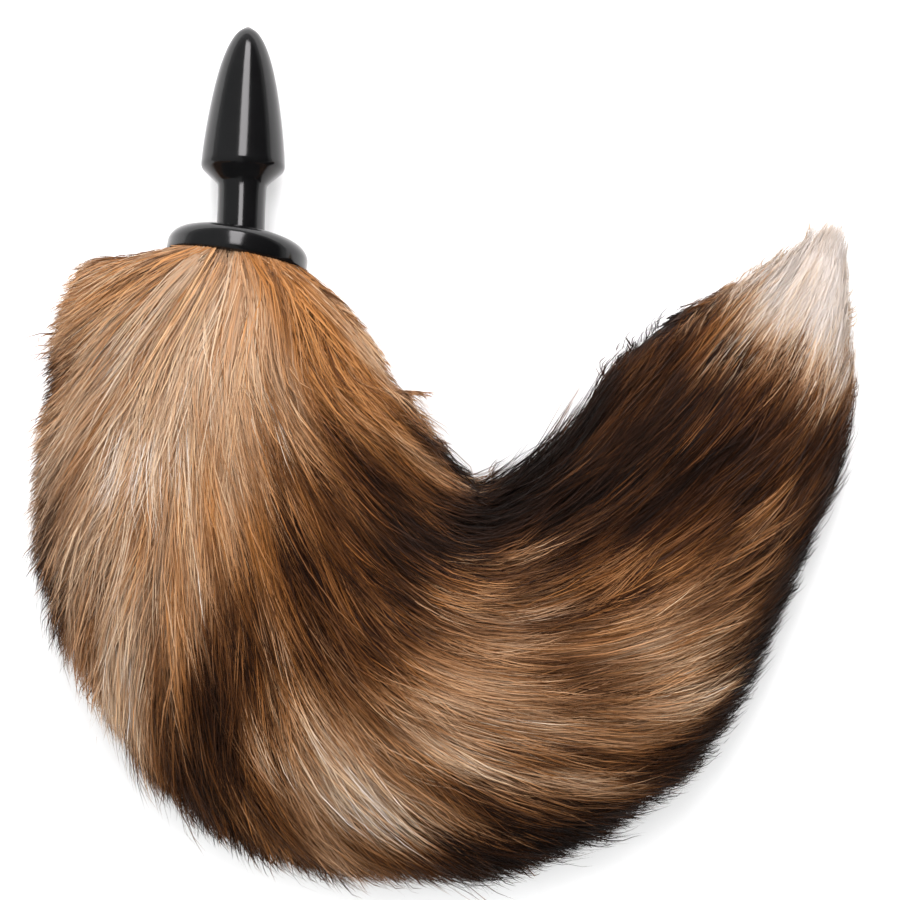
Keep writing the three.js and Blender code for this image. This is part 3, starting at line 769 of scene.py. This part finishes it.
def hair_ribbons(at, line, rng):
    """A tapered ribbon along each hair: its points, and the way that the hair runs."""
    hairs = len(line)
    ahead = np.empty_like(line)
    ahead[:, 1:-1] = line[:, 2:] - line[:, :-2]
    ahead[:, 0] = line[:, 1] - line[:, 0]
    ahead[:, -1] = line[:, -1] - line[:, -2]
    ahead /= np.linalg.norm(ahead, axis=-1, keepdims=True) + TINY
    cx, cy = core_point(at)
    outward = line - np.stack([cx, cy, FUR_HEIGHT * column("side", at)], -1)
    outward -= ahead * (outward * ahead).sum(-1, keepdims=True)
    outward /= np.linalg.norm(outward, axis=-1, keepdims=True) + TINY
    wide = np.cross(ahead, outward)
    roll = rng.uniform(-HAIR_ROLL, HAIR_ROLL, hairs)[:, None, None]
    wide = wide * np.cos(roll) + outward * np.sin(roll)
    half = 0.5 * HAIR_WIDTH * rng.uniform(*HAIR_WIDTHS, hairs)[:, None] * (1 - HAIR_KNOTS) ** TAPER_CURVE
    left = line - wide * half[..., None]
    right = line + wide * half[..., None]
    for side in (left, right):
        side[..., 2] = np.maximum(side[..., 2], LOWEST / 2)
    vertices = np.empty((hairs, POINTS_PER_HAIR, 3))
    vertices[:, 0:-1:2] = left[:, :-1]
    vertices[:, 1:-1:2] = right[:, :-1]
    vertices[:, -1] = line[:, -1]
    return vertices, ahead


def ribbon_faces(hairs):
    """The triangles of the ribbons: two between knots, and one at the tip."""
    faces = []
    for a in range(0, POINTS_PER_HAIR - 3, 2):
        faces += [(a, a + 1, a + 3), (a, a + 3, a + 2)]
    faces.append(tuple(range(POINTS_PER_HAIR - 3, POINTS_PER_HAIR)))
    return np.array(faces)[None] + (np.arange(hairs) * POINTS_PER_HAIR)[:, None, None]


def hair_colours(locks, tufts, tuft, line, ahead, rng):
    """A tone and a warmth for each point of the ribbons."""
    hairs = len(tuft)
    lock = tufts.lock[tuft]
    slide = locks.slide[lock] + rng.normal(0, TUFT_SLIDE, tufts.number)[tuft]
    slide = slide + rng.normal(0, HAIR_SLIDE, hairs)
    tone, warmth = colour_at(line + ahead * slide[:, None, None])
    # the tone varies at random by lock, tuft and hair, and also carries each lock's painted depth shade
    jitter_and_depth_shade = locks.tone[lock] + rng.normal(0, TUFT_TONE, tufts.number)[tuft]
    jitter_and_depth_shade = jitter_and_depth_shade + rng.normal(0, HAIR_TONE, hairs)
    pale = (rng.random(hairs) < PALE_SHARE) * STRONG_TONE
    inky = (rng.random(hairs) < INKY_SHARE) * STRONG_TONE
    jitter_and_depth_shade = jitter_and_depth_shade[:, None] * (1 - CALM_IN_WHITE * smoothstep(tone, *WHITE_TONES))
    tone = tone + jitter_and_depth_shade + pale[:, None] * smoothstep(tone, *PALE_TONES) - inky[:, None]
    tone = tone - ROOT_SHADE * (1 - HAIR_KNOTS) ** 2 + TIP_SHINE * HAIR_KNOTS
    tint = locks.warmth[lock] + rng.normal(0, TUFT_WARMTH, tufts.number)[tuft]
    tint = tint + rng.normal(0, HAIR_WARMTH, hairs)
    warmth = warmth + tint[:, None]
    colours = np.empty((hairs, POINTS_PER_HAIR, 2))
    for lane, offset in ((slice(0, -1, 2), -SIDE_WARMTH), (slice(1, -1, 2), SIDE_WARMTH)):
        colours[:, lane, 0] = tone[:, :-1]
        colours[:, lane, 1] = warmth[:, :-1] + offset
    colours[:, -1, 0] = tone[:, -1]
    colours[:, -1, 1] = warmth[:, -1]
    return np.clip(colours, *COLOUR_LIMITS)


def make_hairs(name, first, last, count, nearest, low_share, rng):
    """Ribbons that taper to points, gathered in tufts and the tufts in locks, lying back."""
    wanted = count // (HAIRS_PER_TUFT * TUFTS_PER_LOCK)
    locks = make_locks(first, last, wanted, nearest, low_share, rng)
    tufts = make_tufts(locks, rng)
    tuft = np.repeat(np.arange(tufts.number), HAIRS_PER_TUFT)
    at, line = hair_lines(locks, tufts, tuft, rng)
    vertices, ahead = hair_ribbons(at, line, rng)
    colours = hair_colours(locks, tufts, tuft, line, ahead, rng)
    faces = ribbon_faces(len(tuft)).reshape(-1, 3)
    return mesh_object(name, vertices.reshape(-1, 3), faces, colours.reshape(-1, 2), smooth=False)


def make_undercoat():
    """The dense fur under the hairs, as one closed skin."""
    rings, sides = UNDERCOAT_GRID
    at = np.linspace(*UNDERCOAT_ENDS, rings)[:, None]
    around = np.linspace(0, 2 * math.pi, sides, endpoint=False)[None]
    at, around = np.broadcast_arrays(at, around)
    (turns, more_turns), (waves, more_waves) = RIPPLE_AROUND, RIPPLE_ALONG
    ripple = RIPPLE * np.sin(turns * around + waves * at)
    ripple = ripple + RIPPLE * np.sin(more_turns * around - more_waves * at)
    reach = ROOT_REACH + (UNDERCOAT_REACH - ROOT_REACH) * smoothstep(at, 0, ROOT_SWELL) + ripple
    around = np.where(around > math.pi, around - 2 * math.pi, around)
    skin = fur_point(at, around, reach)
    skin[..., 2] = np.maximum(skin[..., 2], LOWEST)
    ends = [skin[0].mean(0), skin[-1].mean(0)]
    vertices = np.concatenate([skin.reshape(-1, 3), ends])
    index = np.arange(rings * sides).reshape(rings, sides)
    right = np.roll(index, -1, axis=1)
    a, b, c, d = index[:-1], index[1:], right[1:], right[:-1]
    faces = [np.stack([a, b, c], -1).reshape(-1, 3), np.stack([a, c, d], -1).reshape(-1, 3)]
    for row, middle, order in ((0, rings * sides, 1), (-1, rings * sides + 1, -1)):
        fan = np.stack([index[row], right[row], np.full(sides, middle)], -1)
        faces.append(fan[:, ::order])
    tone, warmth = colour_at(vertices)
    colours = np.stack([tone - UNDERCOAT_SHADE, warmth], -1)
    colours = np.clip(colours, *COLOUR_LIMITS)
    return mesh_object("fur_undercoat", vertices, np.concatenate(faces), colours)


def ramp(nodes, stops):
    """A colour ramp through stops, each a place and a colour of three channels up to 255."""
    node = nodes.new("ShaderNodeValToRGB")
    node.color_ramp.interpolation = "LINEAR"
    while len(node.color_ramp.elements) < len(stops):
        node.color_ramp.elements.new(0.5)
    for element, (place, colour) in zip(node.color_ramp.elements, stops):
        element.position = place
        element.color = (*(linear(channel) for channel in colour), 1)
    return node


def linear(channel):
    """A channel of a screen colour, as light."""
    c = channel / 255
    return c / 12.92 if c <= 0.04045 else ((c + 0.055) / 1.055) ** 2.4


def fur_material():
    """Colour from the tone and the warmth that each hair carries."""
    material = bpy.data.materials.new("fur")
    material.use_nodes = True
    nodes, links = material.node_tree.nodes, material.node_tree.links
    shader = nodes["Principled BSDF"]
    shader.inputs["Roughness"].default_value = 0.5
    shader.inputs["Specular IOR Level"].default_value = 0.08
    shader.inputs["Sheen Weight"].default_value = 0.02
    shader.inputs["Sheen Roughness"].default_value = 0.4
    uv = nodes.new("ShaderNodeUVMap")
    uv.uv_map = "OFBake"
    split = nodes.new("ShaderNodeSeparateXYZ")
    neutral = ramp(
        nodes,
        (
            (0.0, (8, 4, 3)),
            (0.2, (31, 19, 12)),
            (0.35, (72, 51, 36)),
            (0.5, (114, 88, 67)),
            (0.68, (160, 135, 112)),
            (0.84, (186, 165, 142)),
            (1.0, (192, 184, 179)),
        ),
    )
    warm = ramp(
        nodes,
        (
            (0.0, (12, 5, 2)),
            (0.2, (46, 23, 9)),
            (0.35, (98, 57, 23)),
            (0.5, (143, 91, 44)),
            (0.68, (178, 124, 74)),
            (0.84, (196, 160, 120)),
            (1.0, (202, 190, 178)),
        ),
    )
    mix = nodes.new("ShaderNodeMix")
    mix.data_type = "RGBA"
    links.new(uv.outputs["UV"], split.inputs[0])
    links.new(split.outputs["X"], neutral.inputs[0])
    links.new(split.outputs["X"], warm.inputs[0])
    links.new(split.outputs["Y"], mix.inputs[0])
    links.new(neutral.outputs[0], mix.inputs[6])
    links.new(warm.outputs[0], mix.inputs[7])
    links.new(mix.outputs[2], shader.inputs["Base Color"])
    return material


def plug_material():
    """Glossy black moulded plastic, with a faint unevenness in its polish."""
    material = bpy.data.materials.new("plug")
    material.use_nodes = True
    nodes, links = material.node_tree.nodes, material.node_tree.links
    shader = nodes["Principled BSDF"]
    shader.inputs["Specular IOR Level"].default_value = 0.36
    place = nodes.new("ShaderNodeTexCoord")
    noise = nodes.new("ShaderNodeTexNoise")
    noise.inputs["Scale"].default_value = 60
    noise.inputs["Detail"].default_value = 3
    colour = nodes.new("ShaderNodeValToRGB")
    colour.color_ramp.elements[0].color = (0.002, 0.002, 0.0022, 1)
    colour.color_ramp.elements[1].color = (0.006, 0.006, 0.0062, 1)
    polish = nodes.new("ShaderNodeMapRange")
    polish.inputs["To Min"].default_value = 0.1
    polish.inputs["To Max"].default_value = 0.17
    links.new(place.outputs["Object"], noise.inputs["Vector"])
    links.new(noise.outputs["Fac"], colour.inputs[0])
    links.new(noise.outputs["Fac"], polish.inputs["Value"])
    links.new(colour.outputs[0], shader.inputs["Base Color"])
    links.new(polish.outputs[0], shader.inputs["Roughness"])
    return material


def smooth_profile(points, times=2):
    """Corner cutting that keeps the two ends."""
    for _ in range(times):
        cut = [points[0]]
        for (ax, ay), (bx, by) in zip(points[:-1], points[1:]):
            cut.append((0.75 * ax + 0.25 * bx, 0.75 * ay + 0.25 * by))
            cut.append((0.25 * ax + 0.75 * bx, 0.25 * ay + 0.75 * by))
        cut.append(points[-1])
        points = cut
    return points


def arc(cx, cy, rx, ry, start, end, steps):
    """Points on an arc of an ellipse. start and end are in degrees."""
    angles = [math.radians(start + (end - start) * i / steps) for i in range(steps + 1)]
    return [(cx + rx * math.cos(a), cy + ry * math.sin(a)) for a in angles]


def turned(bm, profile, sides, move):
    """Adds a turned solid round the Y axis to bm. The profile runs from the back to the tip."""
    rings = []
    for radius, y in profile:
        if radius < TINY:
            rings.append([bm.verts.new(move @ Vector((0, y, 0)))])
            continue
        ring = []
        for i in range(sides):
            a = 2 * math.pi * i / sides
            ring.append(bm.verts.new(move @ Vector((radius * math.cos(a), y, radius * math.sin(a)))))
        rings.append(ring)
    for low, high in zip(rings[:-1], rings[1:]):
        for i in range(sides):
            j = (i + 1) % sides
            corners = [low[i % len(low)], low[j % len(low)], high[j % len(high)], high[i % len(high)]]
            bm.faces.new(list(dict.fromkeys(corners)))


def make_plug():
    """The bulb, the neck and the flange, smooth all over."""
    neck = NECK_DIAMETER / 2
    widest = BULB_DIAMETER / 2
    neck_top = FLANGE_THICKNESS + NECK_LENGTH
    shoulder = neck_top + SHOULDER_LENGTH
    tip = shoulder + BULB_LENGTH
    corner = (widest - neck) * SHOULDER_ROUND
    bulb = [(widest * radius, tip - BULB_LENGTH * along) for along, radius in BULB_OUTLINE]
    foot = FLANGE_THICKNESS
    stem = [(0, foot / 2), (neck + NECK_FILLET, foot / 2)]
    stem += arc(neck + NECK_FILLET, foot + NECK_FILLET, NECK_FILLET, NECK_FILLET, -90, -180, 6)
    stem += smooth_profile(
        [  # from the neck up over the shoulder to the bulb's widest place
            (neck, foot + NECK_FILLET + 0.5),
            (neck, neck_top - NECK_FILLET / 2),
            (neck + NECK_FILLET / 2, neck_top + NECK_FILLET / 2),
            (widest - corner, shoulder - corner * 1.15),
            (widest - corner * 0.3, shoulder - corner * 0.5),
            (widest, shoulder + corner * 0.1),
        ]
        + bulb[:0:-1]
        + [(0, tip)],
        times=3,
    )
    flat = FLANGE_FLAT_DIAMETER / 2
    rim = FLANGE_DIAMETER / 2
    back, front = FLANGE_BACK_ROUND, FLANGE_FRONT_ROUND
    flange = [(0, 0)]
    flange += arc(rim - back, back, back, back, -90, 0, 6)
    flange += arc(flat, FLANGE_THICKNESS - front, rim - flat, front, 0, 90, 16)
    flange.append((0, FLANGE_THICKNESS))
    place = plug_turn.to_4x4()
    place.translation = Vector((0, 0, flange_height))
    lean = Matrix.Translation((0, FLANGE_THICKNESS, 0))
    lean = lean @ Matrix.Rotation(math.radians(STEM_LEAN), 4, "Z")
    lean = lean @ Matrix.Translation((0, -FLANGE_THICKNESS, 0))
    bm = bmesh.new()
    turned(bm, flange, FLANGE_SIDES, place)
    turned(bm, stem, STEM_SIDES, place @ lean)
    bmesh.ops.recalc_face_normals(bm, faces=bm.faces)
    for vertex in bm.verts:
        vertex.co = (vertex.co + Vector(ORIGIN)) * MM
    mesh = bpy.data.meshes.new("plug_body")
    bm.to_mesh(mesh)
    bm.free()
    mesh.polygons.foreach_set("use_smooth", np.full(len(mesh.polygons), True))
    made = bpy.data.objects.new("plug_body", mesh)
    bpy.context.scene.collection.objects.link(made)
    made.data.materials.append(plug_material())
    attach(made, "root")
    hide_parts("plug")


def make_fur():
    """The undercoat and the pieces of hair, all of one material."""
    material = fur_material()
    rng = np.random.default_rng(SEED)
    pieces = [make_undercoat()]
    share = 1
    for name, first, last, count, nearest, low_share in FUR_PIECES:
        pieces.append(make_hairs(name, first, last, int(count * share), nearest, low_share, rng))
    for piece in pieces:
        piece.data.materials.append(material)
        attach(piece, "root")
        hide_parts("tail_fur")


def post_look():
    """Brushed steel on the hidden post."""
    material = bpy.data.materials.new("post")
    material.use_nodes = True
    nodes, links = material.node_tree.nodes, material.node_tree.links
    shader = nodes["Principled BSDF"]
    shader.inputs["Metallic"].default_value = 1
    shader.inputs["Roughness"].default_value = 0.35
    noise = nodes.new("ShaderNodeTexNoise")
    noise.inputs["Scale"].default_value = 400
    colour = nodes.new("ShaderNodeValToRGB")
    colour.color_ramp.elements[0].color = (0.3, 0.3, 0.31, 1)
    colour.color_ramp.elements[1].color = (0.5, 0.5, 0.51, 1)
    links.new(noise.outputs["Fac"], colour.inputs[0])
    links.new(colour.outputs[0], shader.inputs["Base Color"])
    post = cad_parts["tail_post"]
    post.data.materials.clear()
    post.data.materials.append(material)


def area_light(name, place, target, width, length, watts):
    """A lamp that shines from place to target, with its sizes in metres."""
    data = bpy.data.lights.new(name, "AREA")
    data.shape = "RECTANGLE"
    data.size = width
    data.size_y = length
    data.energy = watts
    lamp = bpy.data.objects.new(name, data)
    lamp.location = place
    lamp.rotation_euler = (Vector(target) - Vector(place)).to_track_quat("-Z", "Y").to_euler()
    bpy.context.scene.collection.objects.link(lamp)
    return lamp


def make_sky():
    """Soft light all round: pale low down and on the left, and dark high up on the right."""
    world = bpy.data.worlds.new("studio")
    bpy.context.scene.world = world
    world.use_nodes = True
    nodes, links = world.node_tree.nodes, world.node_tree.links
    way = nodes.new("ShaderNodeTexCoord")
    split = nodes.new("ShaderNodeSeparateXYZ")
    across = nodes.new("ShaderNodeMapRange")
    across.inputs["From Min"].default_value = -1
    high = ramp(
        nodes,
        (
            (0.0, (175, 178, 180)),
            (0.48, (172, 172, 172)),
            (0.53, (20, 20, 20)),
            (0.8, (8, 8, 8)),
        ),
    )
    low = nodes.new("ShaderNodeMapRange")
    low.inputs["From Min"].default_value = 0.25
    low.inputs["From Max"].default_value = 0.05
    mix = nodes.new("ShaderNodeMix")
    mix.data_type = "RGBA"
    mix.inputs[7].default_value = LOW_SKY
    links.new(way.outputs["Generated"], split.inputs[0])
    links.new(split.outputs["X"], across.inputs["Value"])
    links.new(across.outputs[0], high.inputs[0])
    links.new(split.outputs["Z"], low.inputs["Value"])
    links.new(low.outputs[0], mix.inputs[0])
    links.new(high.outputs[0], mix.inputs[6])
    links.new(mix.outputs[2], nodes["Background"].inputs["Color"])


def make_set():
    """A pale floor, soft light, and the camera straight above."""
    floor_mesh = bpy.data.meshes.new("floor")
    corners = ((-1, -1), (1, -1), (1, 1), (-1, 1))
    floor_mesh.from_pydata(
        [(x * FLOOR_HALF, y * FLOOR_HALF, FLOOR_HEIGHT) for x, y in corners], [], [(0, 1, 2, 3)]
    )
    floor = bpy.data.objects.new("floor", floor_mesh)
    bpy.context.scene.collection.objects.link(floor)
    material = bpy.data.materials.new("floor")
    material.use_nodes = True
    shader = material.node_tree.nodes["Principled BSDF"]
    shader.inputs["Base Color"].default_value = (0.9, 0.9, 0.9, 1)
    shader.inputs["Roughness"].default_value = 0.9
    shader.inputs["Specular IOR Level"].default_value = 0.1
    floor_mesh.materials.append(material)

    make_sky()
    strip = area_light("strip", *STRIP)
    strip.data.color = STRIP_COLOUR
    for name, place, watts in SOFT_LAMPS:
        lamp = area_light(name, place, (0, 0, 0), SOFT_LAMP_SIZE, SOFT_LAMP_SIZE, watts)
        lamp.visible_glossy = False

    camera = bpy.data.cameras.new("camera")
    camera.lens = CAMERA_LENS
    camera.sensor_width = 36
    camera.clip_start = 0.05
    camera.clip_end = 20
    eye = bpy.data.objects.new("camera", camera)
    middle_x = ORIGIN[0] + (PICTURE_MIDDLE - FLANGE_PLACE[0]) * POINT
    middle_y = ORIGIN[1] - (PICTURE_MIDDLE - FLANGE_PLACE[1]) * POINT
    eye.location = (middle_x * MM, middle_y * MM, CAMERA_HEIGHT)
    bpy.context.scene.collection.objects.link(eye)
    bpy.context.scene.camera = eye
    bpy.context.scene.view_settings.view_transform = "Standard"


make_set()
make_plug()
post_look()
make_fur()

bpy.context.view_layer.update()
